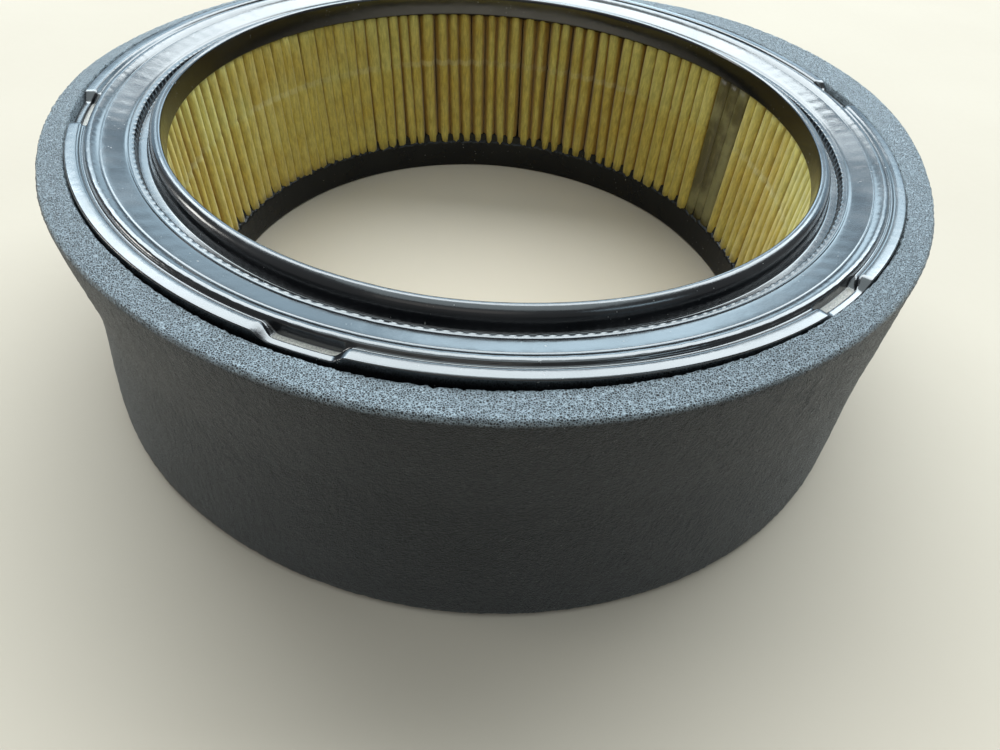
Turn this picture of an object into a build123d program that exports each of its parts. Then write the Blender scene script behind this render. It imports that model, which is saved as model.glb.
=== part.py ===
"""Round pleated air filter element with a slip-on foam pre-cleaner sleeve.

Millimetres, +Z up. The origin is the centre of the ring on the surface it stands on.
The pleated paper ring is bonded into two moulded end caps and backed by a wire screen.
The foam sleeve slips over the outside and pulls off upwards.
"""

import os
from math import cos, radians, sin

from build123d import *

os.makedirs("parts", exist_ok=True)

# Overall sizes
overall_height = 55.0
cap_radius = 87.0
bore_radius = 70.5

# End caps: how far the moulding runs in from each sealing face
top_cap_body = 5.5
bottom_cap_body = 8.7
skirt_overlap = 3.5
skirt_thickness = 2.4

# Relief in each sealing face, as radii and as depths below the face
rim_inner_radius = 85.4
rim_corner = 0.8
gutter_depth = 1.1
ridge_outer_radius = 83.9
ridge_inner_radius = 82.3
ridge_crown = 0.4
channel_outer_radius = 81.1
channel_inner_radius = 77.5
channel_outer_depth = 1.2
channel_inner_depth = 2.3
bead_outer_radius = 76.6
bead_inner_radius = 75.4
bead_foot_depth = 3.1
moat_inner_radius = 73.8
moat_depth = 4.0
lip_crest_radius = 71.9
lip_crest_depth = 0.05
lip_flank_radius = 73.0
lip_flank_depth = 0.9
lip_shoulder_depth = 1.2
wall_draft = 0.3

# Serrated bead standing in the relief, next to the moat
bead_edge_step = 0.15
bead_root = 0.3
bead_height = 0.5
bead_tooth_depth = 0.45
bead_teeth = 240

# Notches that interrupt the rim
notch_count = 6
notch_start_angle = 15.5
notch_width = 13.6
notch_depth = 1.5
notch_pocket_depth = 2.4
notch_pocket_inner_radius = 84.4
notch_pocket_outer_radius = 85.8

# Pleated paper
pleat_count = 120
splice_pleats = 3
splice_angle = 30.0
pleat_inner_radius = 70.9
pleat_outer_radius = 83.4
paper_thickness = 0.5
inner_fold_half_width = 1.3
outer_fold_half_width = 0.9

# Wire screen around the outside of the pleats
screen_inner_radius = 83.7
screen_thickness = 0.4
screen_columns = 60
screen_rows = 5
screen_opening = 4.6
screen_cut_depth = 4.0
screen_diamond_turn = 45.0

# Foam sleeve, which spreads a little towards its foot
foam_height = 53.8
foam_inner_radius = 87.6
foam_top_radius = 93.4
foam_waist_radius = 93.0
foam_waist_height = 32.0
foam_foot_radius = 95.6
foam_corner = 1.2


def end_cap_relief(body_depth):
    """Draw half the section of an end cap: x is the radius, y the depth below its sealing face."""
    skirt_depth = body_depth + skirt_overlap
    skirt_inner_radius = cap_radius - skirt_thickness
    ridge_middle = (ridge_outer_radius + ridge_inner_radius) / 2
    Polyline(
        (bore_radius, lip_shoulder_depth),
        (bore_radius, body_depth),
        (skirt_inner_radius, body_depth),
        (skirt_inner_radius, skirt_depth),
        (cap_radius, skirt_depth),
        (cap_radius, rim_corner),
    )
    RadiusArc((cap_radius, rim_corner), (cap_radius - rim_corner, 0), rim_corner)
    Polyline(
        (cap_radius - rim_corner, 0),
        (rim_inner_radius, 0),
        (rim_inner_radius - wall_draft, gutter_depth),
        (ridge_outer_radius + wall_draft, gutter_depth),
        (ridge_outer_radius, ridge_crown),
    )
    ThreePointArc(
        (ridge_outer_radius, ridge_crown),
        (ridge_middle, 0),
        (ridge_inner_radius, ridge_crown),
    )
    Polyline(
        (ridge_inner_radius, ridge_crown),
        (channel_outer_radius, channel_outer_depth),
        (channel_inner_radius, channel_inner_depth),
        (bead_outer_radius, bead_foot_depth),
        (bead_inner_radius, bead_foot_depth),
        (bead_inner_radius - wall_draft, moat_depth),
        (moat_inner_radius, moat_depth),
        (lip_flank_radius, lip_flank_depth),
    )
    ThreePointArc(
        (lip_flank_radius, lip_flank_depth),
        (lip_crest_radius, lip_crest_depth),
        (bore_radius, lip_shoulder_depth),
    )


def bead_outline():
    """Return the toothed inner outline of the serrated bead as points around the axis."""
    points = []
    for step in range(2 * bead_teeth):
        radius = bead_inner_radius + bead_edge_step + (step % 2) * bead_tooth_depth
        angle = radians(step * 180 / bead_teeth)
        points.append((radius * cos(angle), radius * sin(angle)))
    return points


def build_end_cap(face_height, inward):
    """Build one end cap. inward is -1 for the top cap and +1 for the bottom one."""
    body_depth = top_cap_body if inward < 0 else bottom_cap_body
    section_plane = Plane(origin=(0, 0, face_height), x_dir=(1, 0, 0), z_dir=(0, -inward, 0))
    bead_root_plane = Plane.XY.offset(face_height + inward * (bead_foot_depth + bead_root))
    face_plane = Plane.XY.offset(face_height)
    with BuildPart() as cap:
        with BuildSketch(section_plane):
            with BuildLine():
                end_cap_relief(body_depth)
            make_face()
        revolve(axis=Axis.Z)
        with BuildSketch(bead_root_plane):
            Circle(bead_outer_radius - bead_edge_step)
            with BuildLine(mode=Mode.PRIVATE) as teeth:
                Polyline(*bead_outline(), close=True)
            make_face(teeth.edges(), mode=Mode.SUBTRACT)
        extrude(amount=-inward * (bead_root + bead_height))
        for outer_radius, depth in (
            (cap_radius + notch_width, notch_depth),
            (notch_pocket_outer_radius, notch_pocket_depth),
        ):
            with BuildSketch(face_plane):
                with PolarLocations(cap_radius, notch_count, start_angle=notch_start_angle):
                    Rectangle(notch_width, notch_width)
                Circle(outer_radius, mode=Mode.INTERSECT)
                Circle(notch_pocket_inner_radius, mode=Mode.SUBTRACT)
            extrude(amount=inward * depth, mode=Mode.SUBTRACT)
    return cap


def polar(radius, angle_degrees, sideways=0.0):
    """Return the point at this radius and angle, moved sideways by a length in millimetres."""
    angle = radians(angle_degrees)
    return (
        radius * cos(angle) - sideways * sin(angle),
        radius * sin(angle) + sideways * cos(angle),
    )


def fold_outline(first_angle, folds, whole_ends):
    """Return the outline of a run of folded paper that starts and ends on outer folds.

    With whole_ends it takes in both of those folds, and without it stops at the near side of each.
    """
    half_pitch = 180 / pleat_count
    outer_face = []
    inner_face = []
    for step in range(2 * folds + 1):
        angle = first_angle + step * half_pitch
        is_outer_fold = step % 2 == 0
        if is_outer_fold:
            radii = (pleat_outer_radius, pleat_outer_radius - paper_thickness)
            half_widths = (outer_fold_half_width, outer_fold_half_width - paper_thickness)
        else:
            radii = (pleat_inner_radius + paper_thickness, pleat_inner_radius)
            half_widths = (inner_fold_half_width - paper_thickness, inner_fold_half_width)
        for face, radius, half_width in zip((outer_face, inner_face), radii, half_widths):
            if whole_ends or step > 0:
                face.append(polar(radius, angle, -half_width))
            if whole_ends or step < 2 * folds:
                face.append(polar(radius, angle, half_width))
    return outer_face + inner_face[::-1]


pleat_pitch = 360 / pleat_count
paper_bottom = Plane.XY.offset(bottom_cap_body)
paper_height = overall_height - top_cap_body - bottom_cap_body
splice_span = splice_pleats * pleat_pitch

top_end_cap = build_end_cap(overall_height, -1)
top_end_cap.part.label = "top_end_cap"

bottom_end_cap = build_end_cap(0, 1)
bottom_end_cap.part.label = "bottom_end_cap"

with BuildPart() as pleated_paper:
    with BuildSketch(paper_bottom):
        with BuildLine():
            Polyline(
                *fold_outline(splice_angle + splice_span / 2, pleat_count - splice_pleats, False),
                close=True,
            )
        make_face()
    extrude(amount=paper_height)
pleated_paper.part.label = "pleated_paper"

with BuildPart() as pleat_splice:
    with BuildSketch(paper_bottom):
        with BuildLine():
            Polyline(
                *fold_outline(splice_angle - splice_span / 2, splice_pleats, True),
                close=True,
            )
        make_face()
    extrude(amount=paper_height)
pleat_splice.part.label = "pleat_splice"

with BuildPart() as support_screen:
    with BuildSketch(paper_bottom):
        Circle(screen_inner_radius + screen_thickness)
        Circle(screen_inner_radius, mode=Mode.SUBTRACT)
    extrude(amount=paper_height)
    row_pitch = paper_height / screen_rows
    for row in range(screen_rows):
        row_height = bottom_cap_body + (row + 0.5) * row_pitch
        stagger = (row % 2) * 180 / screen_columns
        with Locations((0, 0, row_height)):
            with PolarLocations(screen_inner_radius, screen_columns, start_angle=stagger):
                Box(
                    screen_cut_depth,
                    screen_opening,
                    screen_opening,
                    rotation=(screen_diamond_turn, 0, 0),
                    mode=Mode.SUBTRACT,
                )
support_screen.part.label = "support_screen"

with BuildPart() as foam_precleaner:
    with BuildSketch(Plane.XZ):
        with BuildLine():
            Polyline(
                (foam_foot_radius - foam_corner, 0),
                (foam_inner_radius, 0),
                (foam_inner_radius, foam_height),
                (foam_top_radius - foam_corner, foam_height),
            )
            RadiusArc(
                (foam_top_radius - foam_corner, foam_height),
                (foam_top_radius, foam_height - foam_corner),
                foam_corner,
            )
            Spline(
                (foam_top_radius, foam_height - foam_corner),
                (foam_waist_radius, foam_waist_height),
                (foam_foot_radius, foam_corner),
            )
            RadiusArc(
                (foam_foot_radius, foam_corner),
                (foam_foot_radius - foam_corner, 0),
                foam_corner,
            )
        make_face()
    revolve(axis=Axis.Z)
foam_precleaner.part.label = "foam_precleaner"

export_step(top_end_cap.part, "parts/top_end_cap.step")
export_step(bottom_end_cap.part, "parts/bottom_end_cap.step")
export_step(pleated_paper.part, "parts/pleated_paper.step")
export_step(pleat_splice.part, "parts/pleat_splice.step")
export_step(support_screen.part, "parts/support_screen.step")
export_step(foam_precleaner.part, "parts/foam_precleaner.step")
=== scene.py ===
"""Looks of the round air filter element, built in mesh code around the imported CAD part.

Lengths inside the shape functions are millimetres; they become metres when a mesh is made.
"""

import math

import bpy
import numpy as np
from mathutils import Matrix, Vector, noise

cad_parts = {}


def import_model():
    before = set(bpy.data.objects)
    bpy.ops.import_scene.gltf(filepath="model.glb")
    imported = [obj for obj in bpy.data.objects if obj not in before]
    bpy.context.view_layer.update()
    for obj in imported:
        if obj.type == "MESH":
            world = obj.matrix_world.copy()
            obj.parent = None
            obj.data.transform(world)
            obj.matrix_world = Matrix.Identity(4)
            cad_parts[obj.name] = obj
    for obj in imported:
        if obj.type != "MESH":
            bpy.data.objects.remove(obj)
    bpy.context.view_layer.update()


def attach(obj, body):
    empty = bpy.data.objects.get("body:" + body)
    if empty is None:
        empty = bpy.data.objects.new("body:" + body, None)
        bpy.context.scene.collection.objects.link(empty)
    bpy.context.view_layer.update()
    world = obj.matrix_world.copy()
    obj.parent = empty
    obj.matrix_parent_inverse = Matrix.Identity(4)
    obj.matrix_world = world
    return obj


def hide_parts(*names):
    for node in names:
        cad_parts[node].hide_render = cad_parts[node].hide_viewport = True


MILLIMETRE = 0.001
HEIGHT = 55.0
CAP_RADIUS = 87.0
BORE_RADIUS = 70.5
TOP_CAP_BODY = 5.5
BOTTOM_CAP_BODY = 8.7
SKIRT_OVERLAP = 3.5
SKIRT_INNER_RADIUS = 84.6
BEAD_TEETH = 240
NOTCH_COUNT = 6
NOTCH_START = 15.5
NOTCH_HALF_WIDTH = 6.8
PLEAT_COUNT = 120
SPLICE_ANGLE = 30.0
SPLICE_PLEATS = 3
INNER_FOLD_RADIUS = 71.05
OUTER_FOLD_RADIUS = 83.15
CREASE_HEIGHT = 35.0
FOAM_FIT_RADIUS = 87.12
FLOOR_HALF_SIZE = 6.0


# ---------------------------------------------------------------- mesh tools


def smoothstep(low, high, value):
    """Rise smoothly from 0 at low to 1 at high."""
    t = np.clip((value - low) / (high - low), 0.0, 1.0)
    return t * t * (3 - 2 * t)


def bump(angle, centre, width):
    """A soft hill around the ring, 1 high at its centre; all three are degrees."""
    away = (angle - centre + 180) % 360 - 180
    return np.exp(-((away / width) ** 2))


def ripples(angle, counts, seed):
    """Waves around the ring with the given whole counts, each of random phase, averaged."""
    generator = np.random.default_rng(seed)
    turn = np.radians(angle)
    waves = [np.sin(count * turn + generator.uniform(0, 2 * math.pi)) for count in counts]
    return sum(waves) / math.sqrt(len(counts))


def grid_quads(rows, columns, wrap_rows, wrap_columns, start=0):
    """Corner indices of the quads over a grid of points."""
    i = np.arange(rows if wrap_rows else rows - 1)[:, None]
    j = np.arange(columns if wrap_columns else columns - 1)[None, :]
    next_i, next_j = (i + 1) % rows, (j + 1) % columns
    corners = (i * columns + j, next_i * columns + j, next_i * columns + next_j, i * columns + next_j)
    return np.stack([c + 0 * (i + j) for c in corners], axis=-1).reshape(-1, 4) + start


def signed_volume(points, quads):
    """Volume inside a closed mesh, negative when its faces look inwards."""
    a, b, c, d = (points[quads[:, k]] for k in range(4))
    halves = np.einsum("ij,ij->i", a, np.cross(b, c)) + np.einsum("ij,ij->i", a, np.cross(c, d))
    return halves.sum() / 6


def make_object(name, points, quads, material):
    """Make a smooth-shaded mesh object from points in millimetres."""
    if signed_volume(points, quads) < 0:
        quads = quads[:, ::-1]
    mesh = bpy.data.meshes.new(name)
    mesh.from_pydata(points * MILLIMETRE, [], quads)
    mesh.polygons.foreach_set("use_smooth", np.ones(len(mesh.polygons), bool))
    mesh.validate()
    mesh.update()
    mesh.materials.append(material)
    thing = bpy.data.objects.new(name, mesh)
    bpy.context.scene.collection.objects.link(thing)
    return thing


def around(radius, height, angle):
    """Points of a grid from radii, heights and angles in degrees."""
    turn = np.radians(angle)
    radius, height, turn = np.broadcast_arrays(radius, height, turn)
    return np.stack([radius * np.cos(turn), radius * np.sin(turn), height], axis=-1)


def noise_at(points, size, seed):
    """Soft noise from -1 to 1 at each point, with features of about this size in millimetres."""
    shift = Vector((seed * 17.3, seed * 5.1, -seed * 9.7))
    flat = points.reshape(-1, 3) / size
    values = [noise.noise(Vector(p) + shift) for p in flat]
    return np.array(values).reshape(points.shape[:-1])


def rounded_outline(corners):
    """Round the corners of a closed outline; each corner is (x, y, reach, points)."""
    xy = np.array([c[:2] for c in corners], float)
    outline = []
    for k, (_, _, reach, count) in enumerate(corners):
        here, before, after = xy[k], xy[k - 1], xy[(k + 1) % len(xy)]
        back, ahead = before - here, after - here
        back_length, ahead_length = np.linalg.norm(back), np.linalg.norm(ahead)
        start = here + back / back_length * min(reach, 0.46 * back_length)
        end = here + ahead / ahead_length * min(reach, 0.46 * ahead_length)
        for t in np.linspace(0, 1, count):
            outline.append((1 - t) ** 2 * start + 2 * t * (1 - t) * here + t * t * end)
    return np.array(outline)


# ---------------------------------------------------------------- shader tools


def new_material(name):
    """Make an empty node material and return it with its node tree."""
    material = bpy.data.materials.new(name)
    material.use_nodes = True
    material.node_tree.nodes.clear()
    return material, material.node_tree


def add(tree, kind, inputs=None, **settings):
    """Add a shader node. Its inputs take values or the sockets of other nodes."""
    made = tree.nodes.new("ShaderNode" + kind)
    for key, value in settings.items():
        setattr(made, key, value)
    for key, value in (inputs or {}).items():
        socket = made.inputs[key]
        if isinstance(value, bpy.types.NodeSocket):
            tree.links.new(value, socket)
        else:
            socket.default_value = value
    return made


def math_node(tree, operation, a, b=0.0, clamp=False):
    """Add a math node and return its result."""
    return add(tree, "Math", {0: a, 1: b}, operation=operation, use_clamp=clamp).outputs[0]


def mix_colour(tree, factor, a, b, blend="MIX"):
    """Mix two colours and return the result."""
    made = add(tree, "Mix", {0: factor, 6: a, 7: b}, data_type="RGBA", blend_type=blend)
    return made.outputs[2]


def map_range(tree, value, low, high, to_low=0.0, to_high=1.0):
    """Map a value smoothly from one range to another and return the result."""
    inputs = {0: value, 1: low, 2: high, 3: to_low, 4: to_high}
    return add(tree, "MapRange", inputs, interpolation_type="SMOOTHSTEP").outputs[0]


def noise_node(tree, place, scale, detail=3.0, roughness=0.5):
    """Add a noise texture and return its value."""
    inputs = {"Vector": place, "Scale": scale, "Detail": detail, "Roughness": roughness}
    return add(tree, "TexNoise", inputs).outputs[0]


def between(tree, value, rise, fall):
    """Make 1 between two soft edges, each given as its start and end in millimetres, and 0 outside."""
    rising = map_range(tree, value, rise[0] * MILLIMETRE, rise[1] * MILLIMETRE)
    falling = map_range(tree, value, fall[0] * MILLIMETRE, fall[1] * MILLIMETRE, 1.0, 0.0)
    return math_node(tree, "MULTIPLY", rising, falling)


def object_place(tree):
    """Return the object coordinates, in metres."""
    return add(tree, "TexCoord").outputs["Object"]


def place_nodes(tree):
    """Return the object coordinates, the distance from the axis and the height, in metres."""
    place = object_place(tree)
    split = add(tree, "SeparateXYZ", {0: place})
    flat = add(tree, "CombineXYZ", {0: split.outputs[0], 1: split.outputs[1]})
    radius = add(tree, "VectorMath", {0: flat.outputs[0]}, operation="LENGTH").outputs["Value"]
    return place, radius, split.outputs[2]


def finish_material(tree, colour, roughness, normal=None, **fixed):
    """Add the surface shader and the output. fixed sets sockets that aren't linked."""
    surface = add(tree, "BsdfPrincipled", {"Base Color": colour, "Roughness": roughness})
    for key, value in fixed.items():
        surface.inputs[key.replace("_", " ")].default_value = value
    if normal is not None:
        tree.links.new(normal, surface.inputs["Normal"])
    output = add(tree, "OutputMaterial")
    tree.links.new(surface.outputs[0], output.inputs[0])


def bump_node(tree, height, strength, distance, normal=None):
    """Add a bump node and return its normal."""
    inputs = {"Height": height, "Strength": strength, "Distance": distance}
    if normal is not None:
        inputs["Normal"] = normal
    return add(tree, "Bump", inputs).outputs[0]


# ---------------------------------------------------------------- materials


def cap_rubber(name, index):
    """Black moulded rubber with a faint orange peel, smears and dust; a higher index is glossier."""
    material, tree = new_material(name)
    clean, filmed = (0.0045, 0.005, 0.006, 1), (0.013, 0.014, 0.015, 1)
    dust, grit_colour = (0.30, 0.29, 0.27, 1), (0.72, 0.67, 0.60, 1)
    place, radius, height = place_nodes(tree)
    smear = noise_node(tree, place, 70, 4)
    peel = noise_node(tree, place, 420, 2)
    grain = noise_node(tree, place, 4800, 3, 0.7)
    specks = noise_node(tree, place, 1700, 1)
    dusty = map_range(tree, noise_node(tree, place, 95, 2), 0.42, 0.64)
    speck = math_node(tree, "MULTIPLY", map_range(tree, specks, 0.74, 0.79), dusty)
    # the floors of the top cap's notches
    pocket = math_node(tree, "MULTIPLY", between(tree, radius, (84.2, 84.4), (85.8, 86.0)),
                       between(tree, height, (40.0, 46.0), (52.8, 53.1)))
    gritty = math_node(tree, "MULTIPLY", pocket, map_range(tree, grain, 0.30, 0.70, 0.35, 1.0))
    film = map_range(tree, smear, 0.45, 0.75, 0.0, 0.25)
    base = mix_colour(tree, film, clean, filmed)
    base = mix_colour(tree, speck, base, dust)
    base = mix_colour(tree, gritty, base, grit_colour)
    shine = map_range(tree, smear, 0.3, 0.8, 0.15, 0.27)
    shine = math_node(tree, "ADD", shine, math_node(tree, "MULTIPLY", speck, 0.5))
    # the rubber is a little duller everywhere below the top cap
    low = map_range(tree, height, 0.0470, 0.0500, 1.0, 0.0)
    off_wall = map_range(tree, radius, 0.0703, 0.0706)
    matted = math_node(tree, "MULTIPLY", math_node(tree, "MULTIPLY", low, off_wall), 0.12)
    shine = math_node(tree, "ADD", shine, matted)
    shine = math_node(tree, "ADD", shine, math_node(tree, "MULTIPLY", pocket, 0.25), True)
    normal = bump_node(tree, peel, 0.10, 0.0003)
    normal = bump_node(tree, math_node(tree, "MULTIPLY", gritty, grain), 0.7, 0.0003, normal)
    finish_material(tree, base, shine, normal, IOR=index)
    return material


def filter_paper():
    """Resin-treated paper, ochre to olive, with fibres, stains, a faint pressed line and painted shade far
    down in the folds.
    """
    material, tree = new_material("filter_paper")
    lower_colour, upper_colour = (0.53, 0.42, 0.080, 1), (0.56, 0.49, 0.125, 1)
    stain, pale, crease_colour = (0.50, 0.37, 0.062, 1), (0.66, 0.60, 0.22, 1), (0.66, 0.63, 0.36, 1)
    painted_fold_shade_colour = (0.33, 0.195, 0.026, 1)
    place, radius, height = place_nodes(tree)
    fibre_place = add(tree, "Mapping", {"Vector": place, "Scale": (1, 1, 0.22)}).outputs[0]
    fibres = noise_node(tree, fibre_place, 1500, 4, 0.65)
    mottling = noise_node(tree, place, 160, 4)
    stains = noise_node(tree, place, 28, 3)
    # painted shade: the paper is darker far down in the folds, between the pleats, where shade falls
    painted_fold_shade_mask = between(tree, radius, (71.3, 72.3), (80.0, 82.2))
    upper = map_range(tree, height, 0.0325, 0.0355)
    light = mix_colour(tree, upper, lower_colour, upper_colour)
    warm = mix_colour(tree, map_range(tree, stains, 0.42, 0.62), light, stain)
    base = mix_colour(tree, map_range(tree, mottling, 0.3, 0.7, 0.0, 0.30), warm, pale)
    base = mix_colour(tree, painted_fold_shade_mask, base, painted_fold_shade_colour)
    from_crease = math_node(tree, "SUBTRACT", height, CREASE_HEIGHT * MILLIMETRE)
    line = map_range(tree, math_node(tree, "ABSOLUTE", from_crease), 0.0004, 0.0012, 0.30, 0.0)
    line = math_node(tree, "MULTIPLY", line, map_range(tree, stains, 0.40, 0.60))
    base = mix_colour(tree, line, base, crease_colour)
    tint = map_range(tree, fibres, 0.3, 0.7, 0.72, 1.12)
    shaded = add(tree, "VectorMath", {0: base, 3: tint}, operation="SCALE").outputs[0]
    normal = bump_node(tree, fibres, 0.35, 0.0002)
    normal = bump_node(tree, mottling, 0.25, 0.0005, normal)
    roughness = map_range(tree, mottling, 0.3, 0.7, 0.55, 0.75)
    finish_material(tree, shaded, roughness, normal, Specular_IOR_Level=0.30, Sheen_Weight=0.22,
                    Sheen_Roughness=0.5)
    return material


def bonded_paper():
    """The same paper soaked in glue: dark olive-brown with a dull shine."""
    material, tree = new_material("bonded_paper")
    soaked_through, half_soaked = (0.085, 0.072, 0.026, 1), (0.215, 0.200, 0.090, 1)
    fibre_colour = (0.28, 0.235, 0.10, 1)
    place = object_place(tree)
    fibre_place = add(tree, "Mapping", {"Vector": place, "Scale": (1, 1, 0.2)}).outputs[0]
    fibres = noise_node(tree, fibre_place, 1300, 4, 0.6)
    soaked = noise_node(tree, place, 120, 4)
    base = mix_colour(tree, map_range(tree, soaked, 0.38, 0.60), soaked_through, half_soaked)
    base = mix_colour(tree, map_range(tree, fibres, 0.5, 0.75, 0.0, 0.4), base, fibre_colour)
    normal = bump_node(tree, fibres, 0.3, 0.0002)
    roughness = map_range(tree, soaked, 0.3, 0.7, 0.34, 0.5)
    finish_material(tree, base, roughness, normal)
    return material


def screen_wire():
    """Galvanised steel mesh with spangle and dull patches."""
    material, tree = new_material("screen_wire")
    bright, tarnished = (0.52, 0.53, 0.54, 1), (0.33, 0.33, 0.32, 1)
    place = object_place(tree)
    spangle = noise_node(tree, place, 500, 3)
    tarnish = noise_node(tree, place, 60, 3)
    base = mix_colour(tree, map_range(tree, tarnish, 0.4, 0.65), bright, tarnished)
    roughness = map_range(tree, spangle, 0.3, 0.7, 0.28, 0.5)
    normal = bump_node(tree, spangle, 0.15, 0.0001)
    finish_material(tree, base, roughness, normal, Metallic=1.0)
    return material


def foam():
    """Dark grey open-cell foam: fine struts around pores painted black as their shade, with painted glints
    on a few; the cut top face is painted lighter and bluer as a painted highlight.
    """
    material, tree = new_material("foam")
    dark_side, light_side = (0.012, 0.0115, 0.011, 1), (0.025, 0.024, 0.023, 1)
    side_pit_painted_shade, side_glint = (0.004, 0.004, 0.004, 1), (0.165, 0.162, 0.156, 1)
    cut_strut_painted_highlight, strut_glint, pore_painted_shade = (0.260, 0.308, 0.338, 1), (0.50, 0.50, 0.50, 1), (0.006, 0.006, 0.006, 1)
    place, _, height = place_nodes(tree)
    wobble = add(tree, "TexNoise", {"Vector": place, "Scale": 1300, "Detail": 1.0})
    bent = add(tree, "VectorMath", {0: wobble.outputs["Color"], 3: 0.0004}, operation="SCALE")
    bent = add(tree, "VectorMath", {0: place, 1: bent.outputs[0]}, operation="ADD").outputs[0]
    cells = add(tree, "TexVoronoi", {"Vector": bent, "Scale": 2800.0}, feature="DISTANCE_TO_EDGE")
    strut = map_range(tree, cells.outputs[0], 0.02, 0.27, 1.0, 0.0)
    fine = noise_node(tree, place, 4200, 2)
    patches = noise_node(tree, place, 55, 3)
    grain = noise_node(tree, place, 1250, 4, 0.75)
    # painted highlight: the cut top face is painted lighter and bluer than the sides, in place of its
    # glinting struts and the cool light they reflect
    painted_highlight_cut_face = map_range(tree, height, 0.0524, 0.0531)
    side = mix_colour(tree, map_range(tree, patches, 0.3, 0.7), dark_side, light_side)
    # painted shade: the side's pits are painted near black
    side = mix_colour(tree, map_range(tree, grain, 0.40, 0.62), side_pit_painted_shade, side)
    # painted glints on the side
    side = mix_colour(tree, map_range(tree, grain, 0.58, 0.72, 0.0, 0.6), side, side_glint)
    struts = mix_colour(tree, painted_highlight_cut_face, side, cut_strut_painted_highlight)
    # painted glints on a few struts
    glint = math_node(tree, "MULTIPLY", map_range(tree, fine, 0.68, 0.74), strut)
    struts = mix_colour(tree, glint, struts, strut_glint)
    # painted shade: the pores between the struts are painted near black
    base = mix_colour(tree, strut, pore_painted_shade, struts)
    rise = math_node(tree, "ADD", strut, math_node(tree, "MULTIPLY", fine, 0.35))
    normal = bump_node(tree, rise, 0.75, 0.0003)
    normal = bump_node(tree, grain, 0.55, 0.0007, normal)
    roughness = map_range(tree, fine, 0.3, 0.7, 0.34, 0.52)
    finish_material(tree, base, roughness, normal, IOR=1.42, Sheen_Weight=0.22, Sheen_Roughness=0.35,
                    Sheen_Tint=(0.86, 0.94, 1.0, 1))
    return material


def floor_material():
    """Plain pale tabletop with a trace of mottling."""
    material, tree = new_material("pale_floor")
    shade, tone = (0.450, 0.385, 0.312, 1), (0.505, 0.44, 0.360, 1)
    place = object_place(tree)
    cloud = noise_node(tree, place, 9, 4)
    fine = noise_node(tree, place, 350, 3)
    base = mix_colour(tree, cloud, shade, tone)
    normal = bump_node(tree, fine, 0.08, 0.0003)
    finish_material(tree, base, map_range(tree, fine, 0.3, 0.7, 0.8, 0.9), normal, Specular_IOR_Level=0.1)
    return material


# ---------------------------------------------------------------- end caps


def cap_corners(body_depth, compound_rise, notched):
    """Corners of an end cap's section: radius, depth below its face, rounding and points.

    They run from the foot of the skirt up over the rim and inwards, down the bore and back outwards
    along the compound that holds the paper.
    """
    skirt_depth = body_depth + SKIRT_OVERLAP
    if notched:
        rim = [
            (CAP_RADIUS, 1.49, 0.30, 5), (86.40, 1.45, 0.30, 3), (85.74, 1.46, 0.16, 3),
            (85.60, 2.20, 0.20, 3), (84.20, 2.20, 0.20, 3), (83.62, 0.16, 0.35, 4),
        ]
    else:
        rim = [
            (CAP_RADIUS + 0.05, 0.03, 0.32, 5), (86.20, -0.01, 0.50, 3), (84.86, 0.04, 0.30, 3),
            (84.50, 0.70, 0.26, 3), (83.94, 0.72, 0.26, 3), (83.58, 0.12, 0.30, 4),
        ]
    return [(CAP_RADIUS, skirt_depth, 0.3, 3)] + rim + [
        # ridge
        (83.00, -0.01, 0.40, 3), (82.45, 0.07, 0.40, 3), (81.55, 0.56, 0.20, 2),
        # fine groove, then the sloping channel
        (81.30, 0.84, 0.12, 3), (81.05, 0.76, 0.12, 2), (79.10, 1.26, 0.90, 3), (77.20, 1.76, 0.30, 3),
        # serrated bead and moat
        (76.85, 2.14, 0.16, 2), (76.45, 2.14, 0.14, 2), (75.70, 2.20, 0.24, 3),
        (75.46, 3.90, 0.18, 2), (73.70, 4.02, 0.35, 3),
        # lip
        (73.25, 2.10, 0.80, 3), (72.70, 0.62, 0.80, 4), (71.55, -0.06, 0.60, 4), (70.62, 0.22, 0.34, 4),
        # bore wall and compound
        (BORE_RADIUS, 1.30, 0.30, 2),
        (BORE_RADIUS, body_depth, 0.50, 2),
        (BORE_RADIUS + 1.0, body_depth + 0.05, 0.15, 2),
        (BORE_RADIUS + 1.3, body_depth + compound_rise, 0.15, 2),
        (SKIRT_INNER_RADIUS, body_depth + compound_rise, 0.30, 2),
        (SKIRT_INNER_RADIUS, skirt_depth, 0.3, 2),
    ]


def notch_share(angle):
    """How far each angle is inside one of the rim's notches, from 0 to 1."""
    slope_inside, slope_outside = 2.0, 0.7
    spacing = 360 / NOTCH_COUNT
    away = np.abs((angle - NOTCH_START + spacing / 2) % spacing - spacing / 2)
    arc = np.radians(away) * CAP_RADIUS
    return 1 - smoothstep(NOTCH_HALF_WIDTH - slope_inside, NOTCH_HALF_WIDTH + slope_outside, arc)


def tooth_wave(angle):
    """The serrated bead's teeth as a wave from 0 to 1, flattened at both ends."""
    squareness = 2.2
    wave = np.cos(np.radians(angle) * BEAD_TEETH)
    return 0.5 + 0.5 * np.tanh(squareness * wave) / math.tanh(squareness)


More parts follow.
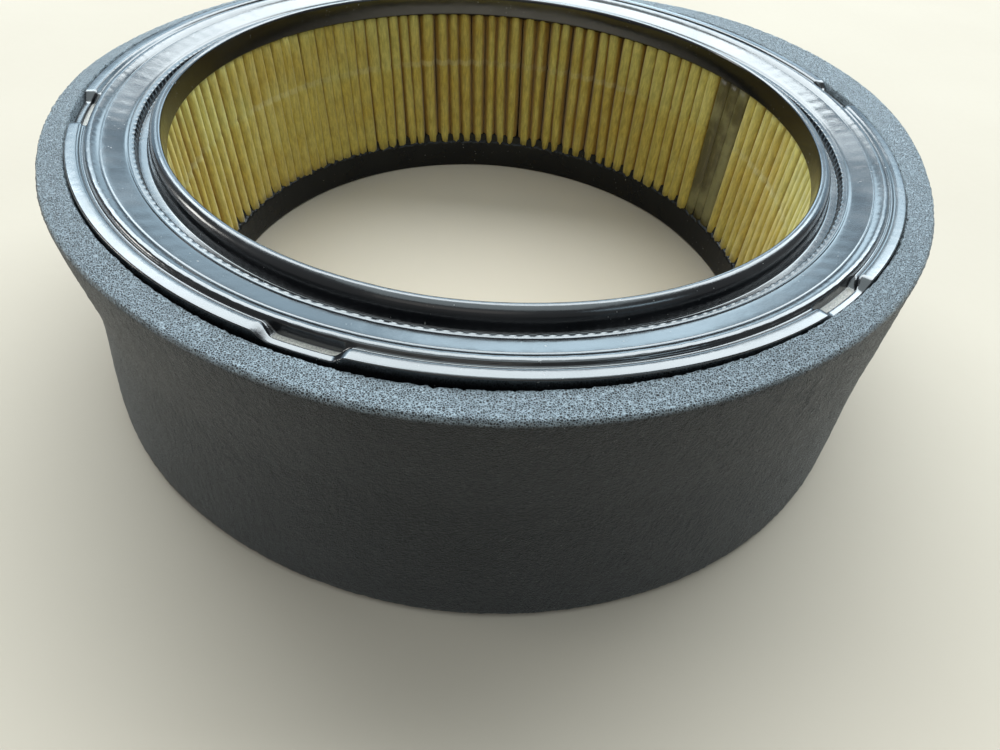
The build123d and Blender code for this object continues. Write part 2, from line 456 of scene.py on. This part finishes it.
def end_cap(name, material, segments, body_depth, compound_rise, seed, on_top):
    """Build one moulded end cap, with its sealing face up or down."""
    tooth_depth, tooth_rise, pleat_mark_depth = 0.13, 0.10, 0.009
    ridge_waver, face_slack, lip_waver, compound_creep = 0.035, 0.06, 0.05, 0.30
    angle = np.arange(segments)[:, None] * 360 / segments
    plain = rounded_outline(cap_corners(body_depth, compound_rise, False))
    cut = rounded_outline(cap_corners(body_depth, compound_rise, True))
    share = notch_share(angle)
    radius = plain[:, 0] + share * (cut[:, 0] - plain[:, 0])
    depth = plain[:, 1] + share * (cut[:, 1] - plain[:, 1])

    face_side = (depth < 4.3) & (plain[:, 0] < CAP_RADIUS - 0.05) & (plain[:, 0] > BORE_RADIUS + 0.02)
    bead_inner = (plain[:, 0] > 75.2) & (plain[:, 0] < 75.8) & (plain[:, 1] < 3.85)
    uneven_teeth = tooth_depth + 0.05 * ripples(angle, (17, 29, 41, 66), seed + 6)
    radius = radius + bead_inner * (uneven_teeth * (1 - tooth_wave(angle)) - 0.05)
    depth = depth - bead_inner * (depth < 3.0) * tooth_rise * tooth_wave(angle)

    channel = smoothstep(77.4, 78.4, plain[:, 0]) * (1 - smoothstep(80.0, 80.9, plain[:, 0]))
    pleat_marks = ripples(angle, (97, 108, 117, 120, 123, 131, 140), seed)
    depth = depth + face_side * channel * pleat_mark_depth * pleat_marks
    ridge = smoothstep(81.4, 82.4, plain[:, 0]) * (1 - smoothstep(83.4, 83.9, plain[:, 0]))
    uneven = ripples(angle, (23, 37, 58, 83, 118, 149, 211, 263), seed + 1)
    radius = radius + face_side * ridge * ridge_waver * uneven
    slack = ripples(angle, (2, 3, 5, 7), seed + 2)
    depth = depth + face_side * face_slack * slack * (1 - share * 0.5)
    lip = smoothstep(73.6, 72.8, plain[:, 0])
    radius = radius + face_side * lip * lip_waver * ripples(angle, (3, 4, 9, 14), seed + 3)

    inside = (depth > body_depth - 0.7) & (plain[:, 0] < BORE_RADIUS + 3)
    creep = ripples(angle, (61, 97, 120, 143, 201, 240, 287), seed + 4)
    depth = depth + inside * compound_creep * creep * (compound_rise > 1)

    height = HEIGHT - depth if on_top else np.maximum(depth, 0.0)
    points = around(radius, height, angle)
    quads = grid_quads(segments, points.shape[1], True, True)
    cap = make_object(name, points.reshape(-1, 3), quads, material)
    cap.modifiers.new("flat faces stay flat", "WEIGHTED_NORMAL").keep_sharp = False
    return cap


# ---------------------------------------------------------------- pleats


def crowding(angle):
    """How tightly the folds stand together at each angle, from 0 to 1."""
    return np.clip(bump(angle, 148, 34) + 0.5 * bump(angle, 48, 22) + 0.9 * bump(angle, 0, 38), 0, 1)


def drawn_together(angle):
    """Angles of the folds once they are drawn together towards one side of the ring."""
    centre, pull, grip, reach = 142, 4.6, 25, 70
    away = (angle - centre + 180) % 360 - 180
    return angle - pull * np.tanh(away / grip) * np.exp(-((away / reach) ** 2))


def pleat_path(centre, before, after, nose, half_width, tight):
    """Points of one pleat, as x and y: out of one outer fold, round the nose and into the next.

    A loose pleat has a pointed nose with open sides; a tight one has a blunt nose with a groove in it.
    """
    outer_radius, outer_half = OUTER_FOLD_RADIUS, 0.80
    nose_side = np.sin(np.radians(np.linspace(-90, 90, 9)))
    nose_out = (2.4 - 1.7 * tight) * np.abs(nose_side) ** (1.35 + 1.8 * tight)
    nose_out[len(nose_out) // 2] += 0.16 * tight
    edge = np.radians(np.linspace(0, 90, 4))
    edge_side, edge_in = outer_half * np.sin(edge), outer_half * (1 - np.cos(edge))
    shares = (0.0, 0.34, 0.68)
    wall_start = outer_radius - edge_in[-1]
    wall_end = nose + nose_out[-1]
    steps = [(s, outer_radius - d, before) for s, d in zip(edge_side[:-1], edge_in[:-1])]
    for share in shares:
        steps.append((edge_side[-1] * (1 - share) - half_width * share,
                      wall_start + (wall_end - wall_start) * share,
                      before + (centre - before) * share))
    steps += [(s * half_width, nose + d, centre) for s, d in zip(nose_side, nose_out)]
    for share in shares[::-1]:
        steps.append((-edge_side[-1] * (1 - share) + half_width * share,
                      wall_start + (wall_end - wall_start) * share,
                      after + (centre - after) * share))
    steps += [(-s, outer_radius - d, after) for s, d in zip(edge_side[1:-1][::-1], edge_in[1:-1][::-1])]
    parts = [np.stack([np.broadcast_to(step[k], centre.shape) for step in steps], axis=1) for k in range(3)]
    side, radius, angle = parts
    turn = np.radians(angle)
    x = radius * np.cos(turn) - side * np.sin(turn)
    y = radius * np.sin(turn) + side * np.cos(turn)
    return np.stack([x, y], axis=-1)


def pleat_ribbon(name, material, first_angle, folds, seed, recess, packed, unruly):
    """Build a run of folded paper with real thickness, uneven folds and a slight twist."""
    generator = np.random.default_rng(seed)
    crease = CREASE_HEIGHT
    low, high = BOTTOM_CAP_BODY - 0.5, HEIGHT - TOP_CAP_BODY + 0.6
    height = np.concatenate([np.linspace(low, crease - 1.2, 9), [crease - 0.5, crease, crease + 0.5],
                             np.linspace(crease + 1.2, high, 6)])
    rows = len(height)
    pitch = 360 / PLEAT_COUNT
    half_thickness = 0.20
    along = (height - height.mean()) / (high - low) * 2
    pressed = np.exp(-(((height - crease) / 0.6) ** 2))
    even = first_angle + (np.arange(folds + 1)) * pitch
    middle = drawn_together(even[:-1] + pitch / 2)
    lean, shift, bow = (generator.normal(0, size, folds) * unruly for size in (0.13, 0.23, 0.12))
    stand = np.clip(generator.normal(0, 0.12, folds), -0.2, 0.3) * unruly
    kink = generator.normal(0, 0.07, folds) * unruly
    twist_height, nose_middle_radius = 34.0, 71.2
    twist = (height - high) / twist_height
    centre = middle[:, None] + shift[:, None] + lean[:, None] * along + bow[:, None] * (1 - along**2)
    centre = centre + twist + kink[:, None] * pressed
    ends = drawn_together(even[[0, -1]])[:, None] + twist
    outer = np.concatenate([ends[:1], (centre[1:] + centre[:-1]) / 2, ends[1:]])
    lines = []
    for k in range(folds):
        tight = max(crowding(middle[k]), packed)
        room = np.radians(outer[k + 1] - outer[k]) * nose_middle_radius / 2
        share = 0.93 + 0.05 * tight + generator.normal(0, 0.02) * unruly * (1 - 0.6 * tight)
        wave = 0.07 * np.sin(along * 2.2 + k * 1.7) * unruly
        nose = INNER_FOLD_RADIUS + recess + stand[k] + wave + 0.12 * pressed
        nose = nose + 0.18 * (1 - tight) * (k % 2) * unruly
        lines.append(pleat_path(centre[k], outer[k], outer[k + 1], nose, room * share, tight))
    line = np.concatenate(lines, axis=1)
    step = np.gradient(line, axis=1)
    sideways = np.stack([-step[..., 1], step[..., 0]], axis=-1)
    sideways /= np.linalg.norm(sideways, axis=-1, keepdims=True)
    faces = [line + sideways * half_thickness, (line - sideways * half_thickness)[:, ::-1]]
    loop = np.concatenate(faces, axis=1)
    z = np.broadcast_to(height[:, None], loop.shape[:2])
    points = np.concatenate([loop, z[..., None]], axis=-1)
    columns = points.shape[1]
    quads = grid_quads(rows, columns, False, True)
    near = np.arange(columns // 2 - 1)
    far = columns - 1 - near
    foot = np.stack([near, near + 1, far - 1, far], axis=-1)
    top = foot[:, ::-1] + (rows - 1) * columns
    quads = np.concatenate([quads, foot, top])
    return make_object(name, points.reshape(-1, 3), quads, material)


# ---------------------------------------------------------------- screen


def support_screen(material):
    """Build the expanded-metal screen: zigzag strands that meet at their corners."""
    nodes_around, strands, strand_gap, strand_tilt = 150, 11, 0.15, 0.06
    low, high = BOTTOM_CAP_BODY - 0.2, HEIGHT - TOP_CAP_BODY + 0.2
    pitch = (high - low) / strands
    steps = nodes_around * 4
    angle = np.arange(steps) * 360 / steps
    saw = np.abs((np.arange(steps) / 4 % 1) * 2 - 1) * 2 - 1
    points, quads, start = [], [], 0
    for k in range(strands):
        flip = 1 if k % 2 else -1
        middle = low + (k + 0.5) * pitch + flip * saw * (pitch / 2 - strand_gap)
        tilt = strand_tilt * flip * saw
        section = ((83.74, -0.34), (84.06, -0.30), (84.10, 0.34), (83.78, 0.30))
        ring = np.stack([around(r + tilt, middle + z, angle) for r, z in section], axis=1)
        points.append(ring.reshape(-1, 3))
        quads.append(grid_quads(steps, len(section), True, True, start))
        start += steps * len(section)
    return make_object("wire_screen", np.concatenate(points), np.concatenate(quads), material)


# ---------------------------------------------------------------- foam sleeve


def foam_outer_radius(angle, share):
    """Outside radius of the sleeve at a share of its height from 0 to 1, by way of its waist."""
    waist_share = 0.58
    top = 92.4 + 1.3 * bump(angle, 268, 26) + 3.0 * bump(angle, 22, 34) + 0.6 * bump(angle, 180, 30)
    waist = 92.4 - 1.7 * bump(angle, 195, 55) + 0.9 * bump(angle, 345, 45) + 1.0 * bump(angle, 20, 40)
    foot = 95.2 + 0.9 * bump(angle, 300, 40) - 0.5 * bump(angle, 190, 50)
    below = smoothstep(0.0, 1.0, share / waist_share)
    above = smoothstep(0.0, 1.0, (share - waist_share) / (1 - waist_share))
    mixed = 0.5 * below + 0.5 * np.clip(share / waist_share, 0, 1)
    lower = foot + (waist - foot) * mixed
    return np.where(share < waist_share, lower, waist + (top - waist) * above)


def foam_top_height(angle):
    """Height of the sleeve's cut top face, which stands proud on one side."""
    return 53.5 + 2.3 * bump(angle, 28, 42) + 0.25 * ripples(angle, (3, 5, 8), 41)


def foam_sleeve(material):
    """Build the foam sleeve with soft edges, a ragged cut face and a lumpy surface."""
    segments, low_share, high_share, edge_rounding = 1200, 0.03, 0.975, 0.9
    angle = np.arange(segments)[:, None] * 360 / segments
    top = foam_top_height(angle)
    share = np.linspace(low_share, high_share, 43)
    outer_radius = foam_outer_radius(angle, share)
    outer_height = share * top
    edge = np.radians(np.linspace(8, 88, 7))
    edge_radius = foam_outer_radius(angle, np.array([high_share])) - edge_rounding * (1 - np.cos(edge))
    edge_height = top * high_share + top * (1 - high_share) * np.sin(edge)
    across = np.linspace(0.06, 0.97, 14)
    outside = edge_radius[:, -1:]
    inner = 87.24 + 0.5 * bump(angle, 258, 28) + 0.04 * ripples(angle, (31, 47, 71, 97, 133), 42)
    top_radius = outside + (inner - outside) * across
    lift = 1.5 - 1.7 * bump(angle, 264, 26) - 2.6 * bump(angle, 28, 42)
    top_height = top + lift * across - 0.15 * across**2
    rim_radius = inner - np.array([[0.0, 0.12]])
    rim_height = top + lift - 0.15 - np.array([[0.25, 0.9]])
    down = np.linspace(0.9, 0.06, 8)
    wall_radius = np.broadcast_to(inner - 0.12, (segments, len(down)))
    wall_height = down * top
    foot_across = np.array([0.0, 0.1, 0.35, 0.65, 0.92])
    foot_outer = foam_outer_radius(angle, np.array([low_share]))
    foot_radius = inner - 0.05 + (foot_outer - 0.6 - inner) * foot_across
    foot_height = np.broadcast_to(np.array([0.35, 0.05, 0.0, 0.0, 0.25]), foot_radius.shape)
    radius = np.concatenate(
        [outer_radius, edge_radius, top_radius, rim_radius, wall_radius, foot_radius], axis=1)
    height = np.concatenate(
        [outer_height, edge_height, top_height, rim_height, wall_height, foot_height], axis=1)

    points = around(radius, height, angle)
    lumps = noise_at(points, 26.0, 1) * 0.16 + noise_at(points, 5.0, 2) * 0.04
    pores = noise_at(points, 0.75, 3) * 0.10
    generator = np.random.default_rng(5)
    pores = pores + generator.normal(0, 0.03, pores.shape)
    outward = np.zeros(radius.shape[1])
    first_top = len(share) + 4
    outward[:first_top] = 1
    inward_from = radius.shape[1] - len(foot_across) - len(down) - 2
    radius = radius + outward * (lumps + pores)
    on_top = np.zeros(radius.shape[1])
    on_top[len(share) + 2:inward_from + 1] = 1
    height = height + on_top * (lumps * 0.7 + pores * 1.1)
    inner_edge = np.zeros(radius.shape[1])
    inner_edge[inward_from - 2:inward_from + 2] = 1
    ragged = np.abs(noise_at(points, 0.9, 7)) * 0.6
    radius = radius + inner_edge * ragged
    radius = np.maximum(radius, FOAM_FIT_RADIUS)
    height = np.maximum(height, 0.0)
    points = around(radius, height, angle)
    quads = grid_quads(segments, radius.shape[1], True, True)
    return make_object("foam_sleeve", points.reshape(-1, 3), quads, material)


# ---------------------------------------------------------------- stage


def pale_floor():
    """A large plain tabletop."""
    places = np.linspace(-FLOOR_HALF_SIZE, FLOOR_HALF_SIZE, 25)
    y, x = np.meshgrid(places, places, indexing="ij")
    points = np.stack([x, y, np.zeros_like(x)], axis=-1).reshape(-1, 3)
    quads = grid_quads(len(places), len(places), False, False)
    mesh = bpy.data.meshes.new("floor")
    mesh.from_pydata(points, [], quads[:, ::-1])
    mesh.polygons.foreach_set("use_smooth", np.ones(len(mesh.polygons), bool))
    mesh.materials.append(floor_material())
    floor = bpy.data.objects.new("floor", mesh)
    bpy.context.scene.collection.objects.link(floor)


def panel_light(name, azimuth, elevation, wide, high, brightness, colour):
    """A soft panel five metres from the part, in degrees as seen from it; azimuth 0 is behind the part."""
    distance = 5.0
    middle = Vector((0, 0, 0.05))
    turn, rise = math.radians(azimuth), math.radians(elevation)
    towards = Vector((math.sin(turn) * math.cos(rise), math.cos(turn) * math.cos(rise), math.sin(rise)))
    light = bpy.data.lights.new(name, "AREA")
    light.shape = "RECTANGLE"
    light.size = 2 * distance * math.tan(math.radians(wide / 2))
    light.size_y = 2 * distance * math.tan(math.radians(high / 2))
    light.energy = brightness * math.pi * light.size * light.size_y
    light.color = colour
    lamp = bpy.data.objects.new(name, light)
    lamp.location = middle + distance * towards
    lamp.rotation_euler = (-towards).to_track_quat("-Z", "Y").to_euler()
    lamp.visible_camera = False
    bpy.context.scene.collection.objects.link(lamp)


def studio_light():
    """A tall cool window behind the part, dimmer towards its foot, and small panels at the sides."""
    pale, cool, blue = (0.85, 0.95, 1.0), (0.62, 0.85, 1.0), (0.46, 0.75, 1.0)
    panel_light("window_high", 0, 50, 84, 31, 8.6, pale)
    panel_light("window_left", -37, 28, 22, 11, 3.0, cool)
    panel_light("window_right", 39, 28, 20, 12, 3.4, cool)
    panel_light("window_foot", 3, 16, 21, 13, 2.4, (0.72, 0.90, 1.0))
    panel_light("window_foot_wide", -2, 16.5, 48, 15, 1.6, cool)
    panel_light("window_haze", 0, 19, 110, 29, 0.9, blue)
    panel_light("side_left", -85, 13, 13, 11, 9.0, (1.0, 0.99, 0.95))
    panel_light("side_right", 127, 32, 22, 10, 3.1, cool)
    panel_light("room_front", 190, 38, 40, 26, 0.4, (1.0, 0.95, 0.88))
    panel_light("ceiling", 0, 90, 56, 56, 1.6, (0.80, 0.95, 1.0))
    world = bpy.data.worlds.new("surround")
    world.use_nodes = True
    background = world.node_tree.nodes["Background"]
    background.inputs["Color"].default_value = (0.92, 0.97, 1.0, 1)
    background.inputs["Strength"].default_value = 0.22
    bpy.context.scene.world = world
    bpy.context.scene.view_settings.view_transform = "Standard"
    bpy.context.scene.view_settings.look = "None"


def photo_camera():
    """The camera at the photograph's viewing angle."""
    pitch, roll = math.radians(46.03), math.radians(5.76)
    place = (0.00653, -0.14799, 0.11921)
    forward = Vector((0, math.cos(pitch), -math.sin(pitch)))
    level_up = Vector((0, math.sin(pitch), math.cos(pitch)))
    sideways = Vector((1, 0, 0))
    right = math.cos(roll) * sideways + math.sin(roll) * level_up
    up = -math.sin(roll) * sideways + math.cos(roll) * level_up
    lens = bpy.data.cameras.new("camera")
    lens.lens, lens.sensor_width = 23.80, 36.0
    lens.clip_start, lens.clip_end = 0.005, 20.0
    camera = bpy.data.objects.new("camera", lens)
    turn = Matrix((right, up, -forward)).transposed()
    camera.matrix_world = Matrix.Translation(place) @ turn.to_4x4()
    bpy.context.scene.collection.objects.link(camera)
    bpy.context.scene.camera = camera


# ---------------------------------------------------------------- the part


def give(piece, body, node):
    """Tie a piece to its body, in place of a CAD node, which is hidden."""
    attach(piece, body)
    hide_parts(node)


def build_part():
    """Build every piece of the element and its sleeve."""
    glossy, dull = cap_rubber("cap_rubber_glossy", 1.80), cap_rubber("cap_rubber_dull", 1.38)
    paper = filter_paper()
    give(end_cap("top_cap", glossy, 1200, TOP_CAP_BODY, 0.6, 11, True),
         "element", "top_end_cap")
    give(end_cap("bottom_cap", dull, 960, BOTTOM_CAP_BODY, 2.2, 23, False),
         "element", "bottom_end_cap")
    pitch = 360 / PLEAT_COUNT
    splice_start = SPLICE_ANGLE - SPLICE_PLEATS * pitch / 2
    paper_start = SPLICE_ANGLE + SPLICE_PLEATS * pitch / 2
    give(pleat_ribbon("paper_pleats", paper, paper_start, PLEAT_COUNT - SPLICE_PLEATS, 3, 0.0, 0.0, 1.0),
         "element", "pleated_paper")
    give(pleat_ribbon("glued_pleats", bonded_paper(), splice_start, SPLICE_PLEATS, 4, 0.25, 1.0, 0.3),
         "element", "pleat_splice")
    give(support_screen(screen_wire()), "element", "support_screen")
    sleeve = foam_sleeve(foam())
    give(sleeve, "precleaner", "foam_precleaner")


def plain(bounds):
    """Bounds as plain lists."""
    return [list(corner) for corner in bounds]


def main():
    """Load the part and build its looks."""
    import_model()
    build_part()
    pale_floor()
    studio_light()
    photo_camera()


main()
